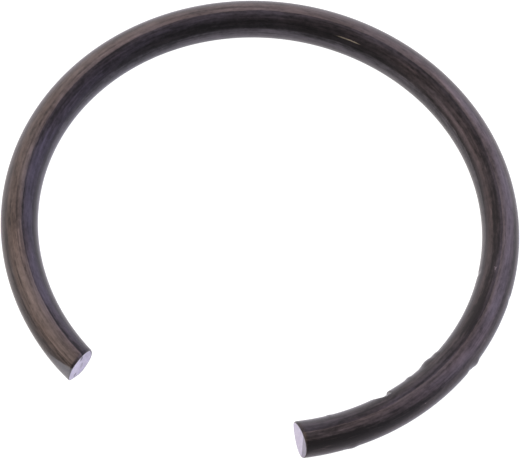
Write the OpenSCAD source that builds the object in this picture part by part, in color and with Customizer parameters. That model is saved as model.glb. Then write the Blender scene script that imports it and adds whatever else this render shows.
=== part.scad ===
// Round-wire snap ring: one length of drawn spring wire, coiled to an open circle and sheared off
// at both ends. It is squeezed shut to pass into a bore and springs out into the bore's groove.
//
// The ring's axis is Z and its wire lies in the plane z = 0. The mouth opens towards -Y, so seen
// from above the left end is at -X and the right end is at +X. Places along the wire are angles
// about the ring's axis, counted from +X towards +Y. Places around the wire are angles in its
// section: 0 faces away from the ring's axis, 90 faces up and 180 faces the ring's axis.

/* [Wire] */
// Diameter of the round spring wire
wire_d = 2; // [1.2:0.1:3]

/* [Ring] */
// Outer diameter of the free ring, before it is squeezed into its bore
free_od = 27.75; // [22:0.05:40]
// Angle of the open mouth, between the two ends at the middle of the wire
mouth_deg = 57.7; // [30:0.1:90]

/* [Sheared ends] */
// Slant of the left end's cut seen from above, so that its outer corner is the longer one
left_slant = 10.3; // [0:0.1:25]
// Lean of the left end's cut, so that its upper corner is the longer one
left_lean = 1.8; // [0:0.1:10]
// Slant of the right end's cut seen from above, so that its inner corner is the longer one
right_slant = 9; // [0:0.1:25]
// Lean of the right end's cut, so that its lower corner is the longer one
right_lean = 2; // [0:0.1:10]

/* [Tool marks] */
// Place along the wire of the nick's steep wall, on the inside of the ring
nick_at = -36.6; // [-45:0.1:-34]
// Place of the nick around the wire's section
nick_side = 156; // [120:1:200]
// Depth of the nick below the round surface
nick_depth = 0.15; // [0.05:0.01:0.3]
// Length of the nick's level floor
nick_floor = 0.45; // [0.1:0.05:0.8]
// Length of the slope from the nick's floor out to the round surface
nick_slope = 0.55; // [0.2:0.05:1]
// Place along the wire of the raised mark on the inside of the ring
inner_mark_at = -23.2; // [-30:0.1:-18]
// Place of the inner mark around the wire's section
inner_mark_side = 162; // [140:1:200]
// Height of the inner mark above the round surface
inner_mark_rise = 0.1; // [0.04:0.01:0.2]
// Length of the inner mark along the wire
inner_mark_length = 1.3; // [0.6:0.05:2]
// Place along the wire of the raised mark on the outside of the ring
outer_mark_at = -14.6; // [-17:0.1:20]
// Place of the outer mark around the wire's section
outer_mark_side = -15; // [-40:1:40]
// Height of the outer mark above the round surface
outer_mark_rise = 0.06; // [0.04:0.01:0.15]
// Length of the outer mark along the wire
outer_mark_length = 0.8; // [0.4:0.05:1.5]

/* [Hidden] */

wire_r = wire_d / 2;
coil_r = (free_od - wire_d) / 2;            // radius of the wire's centreline
left_at = 270 - mouth_deg / 2;              // place of the left end along the wire
right_at = mouth_deg / 2 - 90;              // place of the right end along the wire
steepest = max(left_slant, right_slant);
spare = 2 * atan(wire_r * tan(steepest) / (coil_r - wire_r)) + 1;  // angle of wire that is cut off
shear_length = free_od * sin(spare);        // twice the spare wire, and less than half the mouth
shear_width = 4 * wire_d;
nick_clear = wire_r / 2;                    // how far the nick's cutter reaches outside the wire
nick_over = 0.1;                            // share of the slope's length that runs on past the surface
mark_round = 0.45 * wire_r;                 // radius of a raised mark's own back
mark_bury = 0.03 * wire_r;                  // how far a raised mark's tips lie under the surface
ring_facets = 180;
wire_facets = 48;

// Puts a shape at a place along the wire: X away from the ring's axis, Y along the wire, Z up.
module along(place) {
    rotate([0, 0, place]) translate([coil_r, 0, 0]) children();
}

// Puts a shape at a place along and around the wire: X out of the surface, Y along the wire.
module around(place, side) {
    along(place) rotate([0, -side, 0]) children();
}

// The coiled wire, with spare length at both ends.
module coiled_wire() {
    rotate([0, 0, right_at - spare])
        rotate_extrude(angle = left_at - right_at + 2 * spare, $fn = ring_facets)
            translate([coil_r, 0]) circle(d = wire_d, $fn = wire_facets);
}

// Everything on one side of a shear's plane: past the wire's end for past = 1, before it for -1.
module shear(place, slant, lean, past) {
    along(place)
        rotate([lean, 0, slant])
            translate([0, past * shear_length / 2, 0])
                cube([shear_width, shear_length, shear_width], center = true);
}

// The nick: a steep wall, a level floor and a slope that runs out towards the right end. The slope
// ends on the surface line at nick_side, which bends round the ring, a little past it.
module nick() {
    line_r = coil_r + wire_r * cos(nick_side);
    turn = (nick_floor + nick_slope) / line_r * 180 / PI;
    slope_in = [wire_r - nick_depth, -nick_floor];
    slope_out = [wire_r - cos(nick_side) * line_r * (1 - cos(turn)), -line_r * sin(turn)];
    slope_end = slope_out + nick_over * (slope_out - slope_in);
    top_x = wire_r + nick_clear;
    around(nick_at, nick_side)
        linear_extrude(height = 2 * wire_d, center = true)
            polygon([[slope_in.x, 0], [top_x, 0], [top_x, slope_end.y], slope_end, slope_in]);
}

// A raised mark: a low ridge along the wire, highest in its middle, with both tips buried.
module raised_mark(place, side, rise, length) {
    tip_r = mark_round - rise - mark_bury;
    around(place, side)
        translate([wire_r + rise - mark_round, 0, 0])
            for (way = [-90, 90])
                rotate([way, 0, 0])
                    cylinder(h = length / 2, r1 = mark_round, r2 = tip_r, $fn = wire_facets);
}

module snap_ring() {
    color([0.26, 0.23, 0.22]) {
        difference() {
            union() {
                coiled_wire();
                raised_mark(inner_mark_at, inner_mark_side, inner_mark_rise, inner_mark_length);
                raised_mark(outer_mark_at, outer_mark_side, outer_mark_rise, outer_mark_length);
            }
            shear(left_at, left_slant, -left_lean, 1);
            shear(right_at, right_slant, -right_lean, -1);
            nick();
        }
    }
}

snap_ring();
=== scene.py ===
# %% [markdown]
# # A round-wire snap ring
# The real thing is one length of drawn spring wire, coiled to an open circle, blackened, and sheared
# off at both ends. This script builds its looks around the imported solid, which carries its size.
# Everything is in metres, with the ring's axis on Z and its mouth towards -Y.

# %% Load the solid frame
from math import cos, degrees, pi, radians, sin, tan

import bpy
from mathutils import Matrix, Vector


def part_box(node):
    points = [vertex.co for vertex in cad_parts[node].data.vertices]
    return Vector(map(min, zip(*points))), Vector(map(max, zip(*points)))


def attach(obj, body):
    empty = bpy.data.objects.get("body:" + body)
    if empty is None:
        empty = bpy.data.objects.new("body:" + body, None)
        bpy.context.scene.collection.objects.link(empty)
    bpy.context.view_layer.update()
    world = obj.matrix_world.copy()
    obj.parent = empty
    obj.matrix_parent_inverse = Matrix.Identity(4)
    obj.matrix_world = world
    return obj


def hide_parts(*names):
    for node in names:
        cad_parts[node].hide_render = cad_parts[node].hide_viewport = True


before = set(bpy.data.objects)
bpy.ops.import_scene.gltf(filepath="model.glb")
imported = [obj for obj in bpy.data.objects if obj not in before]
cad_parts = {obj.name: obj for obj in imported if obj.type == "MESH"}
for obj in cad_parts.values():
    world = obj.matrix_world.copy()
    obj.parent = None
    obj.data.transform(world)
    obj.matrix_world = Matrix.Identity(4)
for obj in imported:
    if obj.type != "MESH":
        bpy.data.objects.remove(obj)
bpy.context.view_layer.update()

# %% [markdown]
# ## The ring's sizes
# The wire's diameter is the height of the solid's box, and the ring's outer diameter is its width, so
# both are read from the frame. Angles along the wire are counted about the ring's axis, from +X
# towards +Y. Angles around the wire are counted in its section: 0 faces away from the ring's axis,
# 90 faces up and 180 faces the ring's axis.

# %% Sizes read from the frame
MM = 0.001
low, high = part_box("snap_ring")
WIRE_R = (high.z - low.z) / 2
COIL_R = (high.x - low.x) / 2 - WIRE_R
MOUTH = 57.7                      # degrees, at the middle of the wire
RIGHT_END = MOUTH / 2 - 90        # place of the right end along the wire, in degrees
LEFT_END = 270 - MOUTH / 2
print(f"wire {2 * WIRE_R / MM:.3f} mm, ring {2 * (COIL_R + WIRE_R) / MM:.3f} mm across outside")

# %% [markdown]
# ## Writing node trees as sums
# A finish is mostly arithmetic on a few patterns. Wiring a Math node for every plus sign is hard to
# read, so this small class wraps a socket and turns Python's own operators into nodes.

# %% A socket that can be added and multiplied
class Socket:
    """One output of a node. Arithmetic on it adds Math nodes to its tree."""

    def __init__(self, tree, output):
        self.tree, self.output = tree, output

    def maths(self, operation, *inputs):
        return self.tree.node("ShaderNodeMath", {"operation": operation}, inputs)

    def __add__(self, other):
        return self.maths("ADD", self, other)

    def __sub__(self, other):
        return self.maths("SUBTRACT", self, other)

    def __rsub__(self, other):
        return self.maths("SUBTRACT", other, self)

    def __mul__(self, other):
        return self.maths("MULTIPLY", self, other)

    def __truediv__(self, other):
        return self.maths("DIVIDE", self, other)

    __radd__ = __add__
    __rmul__ = __mul__

    def step(self, start, end):
        """0 up to start, 1 from end on, and a smooth rise between them."""
        span = {"interpolation_type": "SMOOTHSTEP"}
        return self.tree.node("ShaderNodeMapRange", span, [self, start, end, 0.0, 1.0])


class Tree:
    """Adds nodes to one node tree."""

    def __init__(self, tree):
        self.nodes, self.links = tree.nodes, tree.links

    def node(self, kind, settings=None, inputs=(), output=0):
        """Makes a node: its type, then its settings, then the values or links of its sockets."""
        made = self.nodes.new(kind)
        for name, value in (settings or {}).items():
            setattr(made, name, value)
        pairs = inputs.items() if isinstance(inputs, dict) else enumerate(inputs)
        for name, value in pairs:
            if isinstance(value, Socket):
                self.links.new(value.output, made.inputs[name])
            elif value is not None:
                made.inputs[name].default_value = value
        return Socket(self, made.outputs[output])

    def other(self, socket, output):
        """Another output of the node that a socket belongs to."""
        return Socket(self, socket.output.node.outputs[output])

    def vector(self, x, y, z):
        return self.node("ShaderNodeCombineXYZ", None, [x, y, z])

    def mix(self, factor, first, second, blend="MIX"):
        """Two colours mixed."""
        settings = {"data_type": "RGBA", "blend_type": blend}
        return self.node("ShaderNodeMix", settings, {0: factor, 6: first, 7: second}, 2)

    def noise(self, vector, scale, detail=2.0, roughness=0.5):
        inputs = {"Vector": vector, "Scale": scale, "Detail": detail, "Roughness": roughness}
        return self.node("ShaderNodeTexNoise", None, inputs)


# %% [markdown]
# ## The wire's shape
# A ring is a section swept round an axis, so its shape is a rule: Geometry Nodes lay a flat grid and
# bend it. One side of the grid runs along the wire, the other around it. The first and last rows
# close in to a point, and so make the sheared faces, with a few rows between for the broken edge.
# Sweeping a curve would be quicker, but its end caps would be square and have no edge to catch light.

# %% A geometry tree with named inputs
def geometry_tree(name, inputs):
    """An empty geometry tree with float inputs, and the sockets of those inputs by name."""
    group = bpy.data.node_groups.new(name, "GeometryNodeTree")
    group.interface.new_socket("Geometry", in_out="INPUT", socket_type="NodeSocketGeometry")
    group.interface.new_socket("Geometry", in_out="OUTPUT", socket_type="NodeSocketGeometry")
    for label, value in inputs.items():
        socket = group.interface.new_socket(label, in_out="INPUT", socket_type="NodeSocketFloat")
        socket.default_value = value
    tree = Tree(group)
    entry = group.nodes.new("NodeGroupInput")
    return group, tree, {o.name: Socket(tree, o) for o in entry.outputs if o.name}


def close_tree(group, tree, result):
    tree.links.new(result.output, group.nodes.new("NodeGroupOutput").inputs[0])


def use_tree(piece, group, values):
    """Puts a tree on a piece as a modifier, with its inputs set by their identifiers."""
    modifier = piece.modifiers.new(group.name, "NODES")
    modifier.node_group = group
    for item in group.interface.items_tree:
        if item.in_out == "INPUT" and item.name in values:
            modifier[item.identifier] = values[item.name]


# %% [markdown]
# The grid's rows are shared out: many where the tool marks are, fewer along the plain wire,
# and a handful on each end.
# The real cuts are rough: the edges are broken, the blade has rolled the upper edge over, the right
# face is pulled out and twisted, and the left one has a small lip.

# %% How many rows and columns the grid has
FACE_ROWS = 14
EDGE_ROWS = 8
AROUND = 96
MARKED = (-56.0, 10.0)            # the stretch with the tool marks, in degrees along the wire
FINE_ROWS = 280
PLAIN_ROWS = {"right": 16, "left": 350}
WIRE_ROWS = PLAIN_ROWS["right"] + FINE_ROWS + PLAIN_ROWS["left"]
ROWS = WIRE_ROWS + 2 * (FACE_ROWS + EDGE_ROWS)
print(f"grid of {ROWS} by {AROUND}: {2 * ROWS * AROUND} triangles")

COIL_INPUTS = {
    "Coil Radius": COIL_R, "Wire Radius": WIRE_R,
    "Edge Radius": 0.05 * MM, "Roll": 0.09 * MM, "Roll Length": 0.16 * MM,
    "Right End": radians(RIGHT_END), "Left End": radians(LEFT_END),
    "Right Pull": 0.079 * MM, "Left Lip": 0.075 * MM,
    "Right Slant": tan(radians(9.0)), "Right Lean": tan(radians(2.0)),
    "Left Slant": tan(radians(10.3)), "Left Lean": tan(radians(1.8)),
}
SKEW = 2.0 * MM                   # the slant of each cut fades out over this length of wire
TWIST_OUT, TWIST_UP, TWIST_CORNER = 0.15, 0.39, 1.08     # shares of the right face's pull


# %% The tree that coils and shears the wire
def coil_tree():
    group, t, size = geometry_tree("Coiled and sheared wire", COIL_INPUTS)
    grid = t.node("GeometryNodeMeshGrid", None, [1.0, 1.0, ROWS + 1, AROUND + 1])
    place = t.node("GeometryNodeInputPosition")
    across = t.node("ShaderNodeSeparateXYZ", None, [place])
    row = (across + 0.5) * ROWS
    side = (t.other(across, 1) + 0.25) * (2 * pi)
    back = ROWS - row

    def ramp(value, start, count):
        """0 before a row, 1 once count rows have passed, straight between them."""
        return t.node("ShaderNodeMapRange", None, [value, start, start + count, 0.0, 1.0])

    quarter = pi / 2
    edge_start, wire_start = FACE_ROWS, FACE_ROWS + EDGE_ROWS
    face = ramp(row, 0, FACE_ROWS) * ramp(back, 0, FACE_ROWS)
    edge_right = ramp(row, edge_start, EDGE_ROWS) * quarter
    edge_left = ramp(back, edge_start, EDGE_ROWS) * quarter
    # The blade drags the upper edge down as it bites, so that edge is rolled over more.
    rolled = side.maths("MAXIMUM", side.maths("SINE", side), 0.0)
    rounding = size["Edge Radius"] + size["Roll"] * rolled
    length = size["Edge Radius"] + size["Roll Length"] * rolled
    swell = edge_right.maths("SINE", edge_right) * edge_left.maths("SINE", edge_left)
    radius = (size["Wire Radius"] - rounding) * face + rounding * swell
    inset_right = length * (1 - edge_right.maths("COSINE", edge_right))
    inset_left = length * (1 - edge_left.maths("COSINE", edge_left))

    stops = [RIGHT_END, MARKED[0], MARKED[1], LEFT_END]
    counts = [PLAIN_ROWS["right"], FINE_ROWS, PLAIN_ROWS["left"]]
    angle, first = size["Right End"], wire_start
    for start, end, count in zip(stops, stops[1:], counts):
        turn = radians(end - start) if end != LEFT_END else size["Left End"] - radians(start)
        angle = angle + ramp(row, first, count) * turn
        first += count

    out = radius * side.maths("COSINE", side)
    up = radius * side.maths("SINE", side)
    reach = size["Coil Radius"] + out
    from_right = (angle - size["Right End"]) * size["Coil Radius"]
    from_left = (size["Left End"] - angle) * size["Coil Radius"]
    cut_right = out * size["Right Slant"] + up * size["Right Lean"] + inset_right
    cut_left = out * size["Left Slant"] + up * size["Left Lean"] - inset_left
    # The pull is most at the right face's low outer corner. The lip is on the left's low inner side.
    o, u = out / size["Wire Radius"], up / size["Wire Radius"]
    twist = 1 - o * TWIST_OUT - u * TWIST_UP - o * u * TWIST_CORNER
    cut_right = cut_right - size["Right Pull"] * twist
    cut_left = cut_left + size["Left Lip"] * (0 - o - u).step(0.4, 1.35)
    near_right, near_left = 1 - from_right.step(0.0, SKEW), 1 - from_left.step(0.0, SKEW)
    turned = angle + (cut_right * near_right + cut_left * near_left) / reach
    x, y = reach * turned.maths("COSINE", turned), reach * turned.maths("SINE", turned)
    point = t.vector(x, y, up)

    # What is stored must be stored while the grid is still flat, because all of it is worked out
    # from the flat grid's own places.
    wire = grid
    kept = {"along": degrees(1) * turned, "around": degrees(1) * side, "face": face}
    for name, value in kept.items():
        inputs = {"Geometry": wire, "Name": name, "Value": value}
        wire = t.node("GeometryNodeStoreNamedAttribute", {"data_type": "FLOAT"}, inputs)
    wire = t.node("GeometryNodeSetPosition", None, {"Geometry": wire, "Position": point})
    close_tree(group, t, wire)
    return group


coil = coil_tree()
print("coiling tree:", len(coil.nodes), "nodes")

# %% [markdown]
# ## Tool marks
# The wire is bruised near its right end: a nick with one steep wall on the inside of the ring, and
# low swellings beside it. Each swelling is the same rule with other numbers, so it is one small tree
# that is used again for each mark. It lifts the points about a place, most in the middle. A rise
# below 0 makes a dent: the last row is the flat that the cut left under the left end.

# %% Sizes of the bruises
# Each row is (place along the wire, place around it, rise in mm, its reach towards the right end and
# towards the left end, its reach around the wire), in degrees.
SWELLINGS = [
    (-23.2, 162.0, 0.105, 3.2, 3.4, 45.0), (-20.0, 160.0, 0.045, 1.6, 1.6, 40.0),
    (-14.6, -15.0, 0.070, 1.6, 1.6, 40.0), (-17.0, -10.0, -0.035, 1.2, 1.0, 35.0),
    (-29.9, 158.0, 0.035, 1.2, 1.2, 35.0), (-53.4, 152.0, 0.025, 1.1, 1.1, 35.0),
    (7.1, 172.0, -0.030, 1.3, 1.3, 35.0), (-49.9, -20.0, 0.040, 1.8, 1.8, 35.0),
    (2.8, 5.0, -0.025, 1.3, 1.3, 35.0), (241.5, 5.0, -0.070, 4.2, 4.0, 42.0),
]
SWELLING_INPUTS = ("Place", "Side", "Rise", "Before", "After", "Spread")
# The nick's steep wall stands at its place. Its floor and its whole length are counted from there.
NICK = {"Place": -36.4, "Side": 156.0, "Depth": 0.155 * MM, "Floor": 2.1, "Length": 5.0, "Wall": 0.3}
print(len(SWELLINGS), "swellings and dents, and a nick", round(NICK["Depth"] / MM, 3), "mm deep")


# %% The trees that bruise the wire
def stored(t, name):
    return t.node("GeometryNodeInputNamedAttribute", {"data_type": "FLOAT"}, {"Name": name})


def outward(t, along, around, distance):
    """The move of a point by a distance away from the wire's centreline."""
    flat = distance * around.maths("COSINE", around)
    turn_x, turn_y = along.maths("COSINE", along), along.maths("SINE", along)
    return t.vector(flat * turn_x, flat * turn_y, distance * around.maths("SINE", around))


def swelling_tree():
    group, t, size = geometry_tree("Bruised swelling", dict.fromkeys(SWELLING_INPUTS, 1.0))
    along, around = stored(t, "along"), stored(t, "around")
    ahead = along - size["Place"]
    slope = ahead.maths("MAXIMUM", ahead / size["After"], (0 - ahead) / size["Before"])
    turn = around - size["Side"]
    fall = turn.maths("ABSOLUTE", turn) / size["Spread"]
    height = size["Rise"] * (1 - slope.step(0.0, 1.0)) * (1 - fall.step(0.0, 1.0))
    move = outward(t, along * radians(1), around * radians(1), height * stored(t, "face"))
    inputs = {"Geometry": size["Geometry"], "Offset": move}
    close_tree(group, t, t.node("GeometryNodeSetPosition", None, inputs))
    return group


def nick_tree():
    group, t, size = geometry_tree("Nick", {**NICK, "Wire Radius": WIRE_R})
    along, around = stored(t, "along"), stored(t, "around")
    behind = size["Place"] - along
    deep = 1 - t.node("ShaderNodeMapRange", None, [behind, size["Floor"], size["Length"], 0.0, 1.0])
    wall = t.node("ShaderNodeMapRange", None, [behind, 0.0, size["Wall"], 0.0, 1.0])
    flat = size["Wire Radius"] - size["Depth"] * deep * wall
    turn = (around - size["Side"]) * radians(1)
    facing = turn.maths("MAXIMUM", turn.maths("COSINE", turn), 0.2)
    cut = turn.maths("MINIMUM", flat / facing - size["Wire Radius"], 0.0)
    move = outward(t, along * radians(1), around * radians(1), cut * stored(t, "face"))
    inputs = {"Geometry": size["Geometry"], "Offset": move}
    close_tree(group, t, t.node("GeometryNodeSetPosition", None, inputs))
    return group


# %% [markdown]
# ## Closing the skin
# The grid's two long sides meet underneath the wire, and each end closes in to a point. Merging the
# points that lie together makes one closed skin. The finish goes on here too: the faces inside the
# broken edge are bare steel, and all the rest is blackened.

# %% The tree that closes the skin and sets its finishes
def skin_tree(blackened, bare):
    group, t, size = geometry_tree("Closed skin", {"Merge Distance": 1e-7})
    skin = t.node("GeometryNodeMergeByDistance", None,
                  {"Geometry": size["Geometry"], "Distance": size["Merge Distance"]})
    skin = t.node("GeometryNodeRealizeInstances", None, {"Geometry": skin})
    skin = t.node("GeometryNodeSetShadeSmooth", None, {"Geometry": skin})
    skin = t.node("GeometryNodeSetMaterial", None, {"Geometry": skin, "Material": blackened})
    sheared = t.node("FunctionNodeCompare", {"operation": "LESS_THAN"}, [stored(t, "face"), 0.995])
    skin = t.node("GeometryNodeSetMaterial", None,
                  {"Geometry": skin, "Selection": sheared, "Material": bare})
    close_tree(group, t, skin)
    return group


# %% [markdown]
# ## Where a point lies on the wire
# The finish follows the wire, so its patterns need the wire's own coordinates. They are worked out
# from the piece's Object coordinates: the angle about the ring's axis, the angle around the section,
# and the place on the wire as if it were pulled straight. Both angles jump where nobody looks, in the
# open mouth and underneath.

# %% The wire's own coordinates
def wire_coordinates(t):
    """(angle along the wire, angle around it, place on the straightened wire)."""
    spot = t.node("ShaderNodeTexCoord", None, (), 3)
    x = t.node("ShaderNodeSeparateXYZ", None, [spot])
    y, z = t.other(x, 1), t.other(x, 2)
    turn = x.maths("ARCTAN2", x, y)
    out = x.maths("SQRT", x * x + y * y) - COIL_R
    lean = out.maths("ARCTAN2", out, z)
    along = 90 - degrees(1) * turn
    around = 90 - degrees(1) * lean
    straight = t.vector(turn * COIL_R, out, z)
    return along, around, straight


def stretched(t, place, along_mm, across_mm):
    """The straightened place in units of a pattern's own length and width, in millimetres."""
    scale = (1 / (along_mm * MM), 1 / (across_mm * MM), 1 / (across_mm * MM))
    return t.node("ShaderNodeVectorMath", {"operation": "MULTIPLY"}, [place, scale])


def new_material(name):
    material = bpy.data.materials.new(name)
    material.use_nodes = True
    tree = Tree(material.node_tree)
    shader = material.node_tree.nodes["Principled BSDF"]
    return material, tree, shader


# %% [markdown]
# ## Wear, with painted shade and painted reflections
# No two rings are rubbed alike, so the larger marks are placed one by one, and noise only frays them.
# Some of the marks are not wear but painted shade and painted reflections of the tent.

# %% Marks of wear, with painted shade and painted reflections
# Each row is (place along the wire, half its length, place around it, half its width, strength), in
# degrees. A strength above 0 is lighter, below 0 is darker. The thin dark line at 33.5 degrees round on
# the left is painted shade, and the large dark patch at -54 degrees along is a painted reflection of the
# tent's dark opening.
WORN_SIDE_WEAR_AND_SHADE_MARKS = [
    (237.0, 7.0, 58.5, 2.4, -0.35), (229.0, 7.0, 51.0, 2.2, 0.30), (236.8, 4.5, 52.2, 1.5, 0.75),
    (238.8, 4.2, 43.0, 3.0, -0.50), (215.0, 5.0, 55.0, 2.4, -0.40), (206.5, 5.5, 61.8, 2.2, -0.35),
    (207.5, 5.5, 83.0, 3.0, 0.35), (213.6, 0.6, 81.0, 3.0, -0.50), (222.0, 22.0, 33.5, 3.5, -0.22),
    (225.0, 26.0, 78.0, 24.0, 0.25), (182.0, 2.0, 86.0, 8.0, 0.45), (156.0, 5.0, 80.5, 4.5, -0.30),
    (138.0, 15.0, 88.5, 2.5, 0.30), (127.8, 1.5, 55.0, 4.0, -0.25), (11.0, 11.0, 79.8, 2.2, -0.30),
    (10.0, 18.0, 42.0, 9.0, -0.35), (-2.0, 3.5, 71.5, 6.0, 0.30), (-10.0, 4.5, 46.5, 6.0, 0.30),
    (-19.0, 4.5, 60.0, 14.0, 0.20), (-24.5, 6.0, 46.0, 2.5, -0.40), (-30.9, 0.4, 30.5, 2.8, 2.50),
    (-54.0, 28.0, 36.0, 28.0, -0.75), (-58.0, 8.0, 74.0, 13.0, -0.35), (-59.4, 1.7, 82.0, 1.6, 0.60),
    (113.0, 45.0, 42.0, 14.0, -0.35),
]
# On the inner side, the dark marks at 131 and 139 degrees round, the light band at 131 degrees round and
# the dark line at 146.5 degrees round are painted reflections.
INNER_SIDE_WEAR_AND_REFLECTION_MARKS = [
    (114.0, 28.0, 131.0, 20.0, -0.25), (85.0, 10.0, 139.0, 10.0, -0.25), (103.0, 42.0, 178.0, 27.0, 0.90),
    (178.0, 8.0, 115.0, 3.0, 0.30), (171.0, 9.0, 133.5, 4.0, 0.40), (174.0, 13.0, 145.0, 2.5, -0.35),
    (219.0, 26.0, 118.0, 24.0, 0.35), (234.3, 2.2, 101.5, 2.6, -0.80), (238.5, 1.8, 104.5, 3.4, -0.90),
    (240.5, 1.4, 102.5, 3.8, -0.95), (22.0, 48.0, 131.0, 14.0, 0.75), (32.0, 30.0, 146.5, 2.5, -0.60),
    (8.4, 0.3, 98.0, 5.0, 3.00), (-15.5, 9.0, 92.0, 2.5, -0.35), (-4.0, 60.0, 103.0, 13.0, -0.35),
    (-48.0, 18.0, 118.0, 22.0, -0.18),
]
SCRATCH = (87.0, 4.2, 129.0, 2.0, 1.0)


def lens(along, around, row):
    """A mark's mask: 1 in its middle and 0 outside, with drawn-out ends."""
    middle, half_length, side, half_width, _ = row
    ahead = (along - middle) * (1 / half_length)
    aside = (around - side) * (1 / half_width)
    return 1 - (ahead * ahead + aside * aside).step(0.25, 1.0)


def all_marks(along, around, rows):
    """The sum of all marks' strengths at a point."""
    total = 0
    for row in rows:
        total = lens(along, around, row) * row[-1] + total
    return total


# %% [markdown]
# ## The blackened finish
# A black oxide bath leaves spring steel nearly black, with a low sheen. Handling has rubbed the upper
# and outer side back to a warm brown, and the drawing die left fine lines along the wire. So the
# finish is a dark metal, and every pattern in it is stretched along the wire. The colour is the
# metal's reflectance, which is low here because the oxide layer soaks up light.

# %% The blackened wire's finish
BROWN = ((0.0480, 0.0360, 0.0335, 1), (0.0450, 0.0360, 0.0355, 1))       # rubbed, in patches
DARK = ((0.0185, 0.0140, 0.0155, 1), (0.0175, 0.0145, 0.0175, 1))        # hardly touched, in patches
LOW_INNER_PAINTED_REFLECTION = (0.040, 0.036, 0.041, 1)       # painted reflection: lighter and cooler on the low part of the side that faces the ring's axis
FLAT_PAINTED_REFLECTION_GREY = (0.155, 0.152, 0.162, 1)   # painted reflection: the light grey of the flat under the left end
BARE = (0.30, 0.26, 0.20, 1)           # the bottom of the scratch
LINE_SIDE, LINE_PLACE, LINE_CLIMB = 86, -20, 0.042       # where the brown ends, around the wire
FLAT_SIDE, FLAT_PLACE, FLAT_CLIMB = 43, 241.5, 4.3       # where the flat ends, around the wire


def blackened_wire():
    material, t, shader = new_material("rubbed_black_oxide")
    along, around, place = wire_coordinates(t)
    # From long lines left by the drawing die, through scuffs and mottling, to grit and broad clouds.
    draw = t.noise(stretched(t, place, 5.0, 0.14), 1.0, 3.0, 0.55)
    scuff = t.noise(stretched(t, place, 1.2, 0.16), 1.0, 3.0, 0.6)
    mottle = t.noise(stretched(t, place, 0.7, 0.35), 1.0, 4.0, 0.6)
    grit = t.noise(stretched(t, place, 0.30, 0.14), 1.0, 2.0, 0.6)
    cloud = t.noise(stretched(t, place, 4.0, 0.8), 1.0, 2.0, 0.5)

    # Marks and edges are drawn on a place that the scuffs push about, so none of them is a clean shape.
    rag_along = along + (mottle - 0.5) * 6
    rag_around = around + (scuff - 0.5) * 8 + (mottle - 0.5) * 6

    # The worn side ends in a ragged line that climbs slowly over the top of the wire.
    line = rag_around - (LINE_SIDE + (along - LINE_PLACE) * LINE_CLIMB)
    inner = line.step(-1.2, 1.2)
    # The lowest part of the inner side is painted lighter and cooler: a painted reflection of the light
    # from below.
    low_inner_reflection = rag_around.step(144, 152)
    # Towards the left end the line has a dark rim.
    rim = line.step(-0.5, 1.0) * (1 - line.step(2.5, 6.0)) * along.step(160, 205)

    # Both sums hold rubbing together with painted shade and painted reflections.
    worn_side_wear_and_shade = all_marks(rag_along, rag_around, WORN_SIDE_WEAR_AND_SHADE_MARKS)
    inner_side_wear_and_reflection = all_marks(rag_along, rag_around, INNER_SIDE_WEAR_AND_REFLECTION_MARKS)
    streaks = ((draw - 0.5) * 1.8 + (scuff - 0.5) * 1.2 + (mottle - 0.5) * 1.0
               + (grit - 0.5) * 1.1 + (cloud - 0.5) * 1.3) * (1 + inner * 0.5)
    flecks = scuff.step(0.66, 0.78) * 0.7 - grit.step(0.68, 0.78) * 0.5
    gain = 1 + worn_side_wear_and_shade * (1 - inner) + inner_side_wear_and_reflection * inner + streaks + flecks - rim * 0.45
    gain = gain.maths("MAXIMUM", gain, 0.3)

    patches = cloud.step(0.3, 0.7)
    colour = t.mix(inner, t.mix(patches, *BROWN), t.mix(low_inner_reflection, t.mix(patches, *DARK), LOW_INNER_PAINTED_REFLECTION))
    colour = t.node("ShaderNodeVectorMath", {"operation": "SCALE"}, {0: colour, 3: gain})
    # The cut flattened the low outer side at the left end, and the flat is painted light grey, a painted
    # reflection of the light it catches.
    edge_of_flat = FLAT_SIDE - (FLAT_PLACE - along) * FLAT_CLIMB
    flat = (edge_of_flat - rag_around).step(-3.0, 4.0) * along.step(232.5, 239.5)
    colour = t.mix(flat, colour, FLAT_PAINTED_REFLECTION_GREY)
    scratch = lens(along + (scuff - 0.5) * 2, around + (scuff - 0.5) * 4, SCRATCH)
    colour = t.mix(scratch * scuff.step(0.3, 0.6), colour, BARE)
    t.links.new(colour.output, shader.inputs["Base Color"])
    shader.inputs["Metallic"].default_value = 1.0
    shader.inputs["Sheen Weight"].default_value = 0.35
    shader.inputs["Sheen Roughness"].default_value = 0.5
    rough = 0.40 - inner * 0.03 + (mottle - 0.5) * 0.14 + (scuff - 0.5) * 0.1
    t.links.new(rough.output, shader.inputs["Roughness"])
    height = draw + scuff * 0.4
    bump = t.node("ShaderNodeBump", None, {"Strength": 0.5, "Distance": 0.012 * MM, "Height": height})
    t.links.new(bump.output, shader.inputs["Normal"])
    return material


blackened = blackened_wire()
print("blackened finish:", len(blackened.node_tree.nodes), "nodes")

# %% [markdown]
# ## The bare ends
# The wire was cut after blackening, so its ends are bright bare steel. A sheared face is partly
# smooth, where the blade slid, and partly torn. It's drawn with fine lines across the face, a few
# pits painted as dark spots of shade, and a crease with a painted highlight along it, in the face's own
# directions: out from the ring's axis, and up.

# %% The bare sheared ends
# Each row is (place out from the wire's middle, half its size that way, place up from the middle,
# half its size that way, strength), in wire radii. The first three rows are painted shade: dark pits that
# are not cut into the face.
LEFT_FACE_TONE_AND_PIT_SHADE_MARKS = [(-0.09, 0.14, 0.63, 0.28, -0.60), (-0.16, 0.15, -0.25, 0.32, -0.25),
                   (0.36, 0.14, -0.59, 0.24, -0.40), (-0.65, 0.50, 0.36, 0.55, -0.12),
                   (0.40, 0.45, 0.15, 0.70, 0.08)]
STEEL = ((0.575, 0.545, 0.675, 1), (0.600, 0.580, 0.665, 1))             # bright, in specks
CREASE_PLACE, CREASE_LEAN = 0.40, 0.295                  # across the right face, in wire radii
TEAR_STRETCH = 0.3                # the torn lines run up the face, so the pattern is stretched that way


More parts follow.
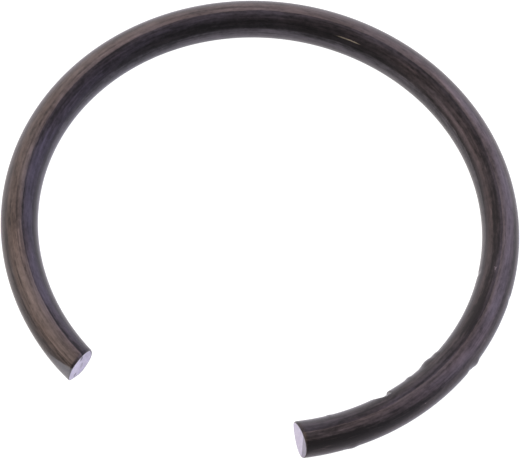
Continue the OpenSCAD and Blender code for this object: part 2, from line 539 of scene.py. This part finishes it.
def sheared_steel():
    material, t, shader = new_material("sheared_steel")
    along, _, place = wire_coordinates(t)
    parts = t.node("ShaderNodeSeparateXYZ", None, [place])
    out, up = t.other(parts, 1) / WIRE_R, t.other(parts, 2) / WIRE_R
    grain = t.noise(stretched(t, place, 0.2, 0.2), 1.0, 4.0, 0.6)
    face_place = t.vector(0, out * WIRE_R, up * WIRE_R * TEAR_STRETCH)
    torn = t.noise(stretched(t, face_place, 1.0, 0.12), 1.0, 3.0, 0.6)
    at_left = along.step(85, 95)

    from_middle = out.maths("SQRT", out * out + up * up)
    lip = from_middle.step(0.86, 0.97) * (0 - out - up).step(0.2, 0.9)
    left = all_marks(out + (grain - 0.5) * 0.2, up, LEFT_FACE_TONE_AND_PIT_SHADE_MARKS) - lip * 0.62
    # On the right face a crease parts the clean shear from a duller torn strip, and a painted highlight
    # runs along the crease.
    crease = out + up * CREASE_LEAN - CREASE_PLACE + (grain - 0.5) * 0.1
    ridge_highlight = crease.step(-0.06, 0.0) * (1 - crease.step(0.0, 0.06))
    right = 0 - crease.step(0.0, 0.08) * 0.40 + ridge_highlight * 0.15
    tone = 1 + left * at_left + right * (1 - at_left) + (torn - 0.5) * 0.35 + (grain - 0.5) * 0.35

    colour = t.mix(grain.step(0.3, 0.7), *STEEL)
    colour = t.node("ShaderNodeVectorMath", {"operation": "SCALE"}, {0: colour, 3: tone})
    t.links.new(colour.output, shader.inputs["Base Color"])
    shader.inputs["Metallic"].default_value = 0.9
    rough = 0.5 + (torn - 0.5) * 0.2
    t.links.new(rough.output, shader.inputs["Roughness"])
    height = grain + torn
    bump = t.node("ShaderNodeBump", None, {"Strength": 0.5, "Distance": 0.015 * MM, "Height": height})
    t.links.new(bump.output, shader.inputs["Normal"])
    return material


bare = sheared_steel()
print("sheared finish:", len(bare.node_tree.nodes), "nodes")

# %% [markdown]
# ## Making the piece
# The trees go on one object as modifiers, in the order a bench would work: coil and shear, bruise,
# then close the skin. The result is kept as a plain mesh, so nothing is left to be worked out later.

# %% Build the wire
def build_wire(blackened, bare):
    piece = bpy.data.objects.new("coiled_wire", bpy.data.meshes.new("coiled_wire"))
    bpy.context.scene.collection.objects.link(piece)
    use_tree(piece, coil, COIL_INPUTS)
    swelling = swelling_tree()
    for row in SWELLINGS:
        mark = dict(zip(SWELLING_INPUTS, row))
        mark["Rise"] *= MM
        use_tree(piece, swelling, mark)
    use_tree(piece, nick_tree(), NICK)
    use_tree(piece, skin_tree(blackened, bare), {})
    evaluated = piece.evaluated_get(bpy.context.evaluated_depsgraph_get())
    mesh = bpy.data.meshes.new_from_object(evaluated)
    mesh.materials.pop(index=0)   # the grid starts with an empty slot
    piece.modifiers.clear()
    piece.data = mesh
    return piece


wire = build_wire(blackened, bare)
print("wire:", len(wire.data.vertices), "points,", len(wire.data.polygons), "faces,",
      [material.name for material in wire.data.materials])
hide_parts("snap_ring")
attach(wire, "root")


# %% [markdown]
# ## The floor
# The ring lies on a lit white sheet. The sheet glows to the eye as white, and a little less in the
# ring's reflections, where a real sheet would be seen at a slant and partly in the ring's shade.

# %% Floor
FLOOR_HALF = 0.6
FLOOR_PAINT = (0.12, 0.12, 0.12, 1)
REFLECTED_GLOW, SEEN_GLOW = (0.76, 0.73, 0.78, 1), (1.1, 1.1, 1.1, 1)


def lit_floor():
    corners = [(x * FLOOR_HALF, y * FLOOR_HALF, low.z) for x, y in ((-1, -1), (1, -1), (1, 1), (-1, 1))]
    mesh = bpy.data.meshes.new("floor")
    mesh.from_pydata(corners, [], [(0, 1, 2, 3)])
    floor = bpy.data.objects.new("floor", mesh)
    bpy.context.scene.collection.objects.link(floor)
    material, t, shader = new_material("lit_white_floor")
    shader.inputs["Base Color"].default_value = FLOOR_PAINT
    shader.inputs["Roughness"].default_value = 1.0
    shader.inputs["Specular IOR Level"].default_value = 0.0
    shader.inputs["Emission Strength"].default_value = 1.0
    seen = t.node("ShaderNodeLightPath")
    glow = t.mix(seen, REFLECTED_GLOW, SEEN_GLOW)
    t.links.new(glow.output, shader.inputs["Emission Color"])
    mesh.materials.append(material)


lit_floor()
print("floor", 2 * FLOOR_HALF, "m square, at", round(low.z / MM, 3), "mm")

# %% [markdown]
# ## The light
# Small shiny parts are lit inside a white tent. Its opening faces the camera, and shows as the dark
# band along the inside of the wire. It's drawn on the world by direction: white walls, warmer on the
# left and cooler on the right, dimmer overhead and low down, and one dark opening at the front.

# %% World
VIEW_TURN = 13.12                 # degrees that the camera stands round from the front
FRONT = VIEW_TURN - 77            # direction of the tent's opening, in degrees from +X towards +Y
LEFT_WALL, RIGHT_WALL = (2.74, 2.48, 2.20, 1), (2.26, 2.30, 3.30, 1)
ROOF = (1.15, 1.12, 1.12, 1)
OPENING_LOW, OPENING_HIGH = (0.02, 0.02, 0.02, 1), (0.40, 0.38, 0.38, 1)
BACKDROP = (1.2, 1.2, 1.2, 1)     # what the camera itself sees past the floor


def studio_world():
    world = bpy.data.worlds.new("white tent")
    bpy.context.scene.world = world
    world.use_nodes = True
    t = Tree(world.node_tree)
    background = world.node_tree.nodes["Background"]
    towards = t.node("ShaderNodeTexCoord", None, (), 0)

    def towards_angle(angle):
        """How far a direction points the same way as a level angle, from -1 to 1."""
        level = (cos(radians(angle)), sin(radians(angle)), 0)
        return t.node("ShaderNodeVectorMath", {"operation": "DOT_PRODUCT"}, [towards, level], 1)

    ahead, aside, across = towards_angle(FRONT), towards_angle(FRONT + 90), towards_angle(VIEW_TURN)
    up = t.other(t.node("ShaderNodeSeparateXYZ", None, [towards]), 2)
    aside = aside.maths("ABSOLUTE", aside)
    off_front = degrees(1) * aside.maths("ARCTAN2", aside, ahead)
    height = degrees(1) * up.maths("ARCSINE", up)
    opening = (1 - off_front.step(57, 71)) * (1 - height.step(60, 80))
    top = height.step(50, 84)
    wall = t.mix(across.step(-0.6, 0.8), LEFT_WALL, RIGHT_WALL)
    low_wall = 0.65 + height.step(-5, 30) * 0.35
    wall = t.node("ShaderNodeVectorMath", {"operation": "SCALE"}, {0: wall, 3: low_wall})
    inside = t.mix(height.step(4, 22), OPENING_LOW, OPENING_HIGH)
    reflected = t.mix(opening, t.mix(top, wall, ROOF), inside)
    camera_ray = t.node("ShaderNodeLightPath")
    final = t.mix(camera_ray, reflected, BACKDROP)
    t.links.new(final.output, background.inputs["Color"])
    background.inputs["Strength"].default_value = 1.0


studio_world()
print("tent opening at", round(FRONT, 2), "degrees")

# %% [markdown]
# ## The camera
# It looks down at the ring from well above, through a long lens, so the circle shows as a wide oval
# with hardly any perspective. Its distance and aim are in coil radii, so they follow the ring's size.

# %% Camera
VIEW_HEIGHT = 60.924              # degrees that the camera looks down
VIEW_ROLL = 6.9458                # degrees that it is tilted about its own line of sight
VIEW_DISTANCE = 46.9228 * COIL_R
VIEW_AIM = (-0.0010523 * COIL_R, -0.0036929 * COIL_R, 0)    # right and up from the ring's centre
LENS, SENSOR = 783.15, 36.0


def stand_camera():
    view = Matrix.Rotation(radians(VIEW_TURN), 3, "Z")
    view = view @ Matrix.Rotation(radians(90 - VIEW_HEIGHT), 3, "X")
    view = view @ Matrix.Rotation(radians(VIEW_ROLL), 3, "Z")
    stand = view @ (Vector(VIEW_AIM) + Vector((0, 0, VIEW_DISTANCE)))
    camera = bpy.data.objects.new("camera", bpy.data.cameras.new("camera"))
    bpy.context.scene.collection.objects.link(camera)
    camera.matrix_world = Matrix.Translation(stand) @ view.to_4x4()
    camera.data.sensor_width = SENSOR
    camera.data.lens = LENS
    camera.data.clip_start = 0.05
    camera.data.clip_end = 5.0
    bpy.context.scene.camera = camera


stand_camera()
bpy.context.scene.view_settings.view_transform = "Standard"
print("camera", round(VIEW_DISTANCE, 3), "m from the ring, behind a", LENS, "mm lens")
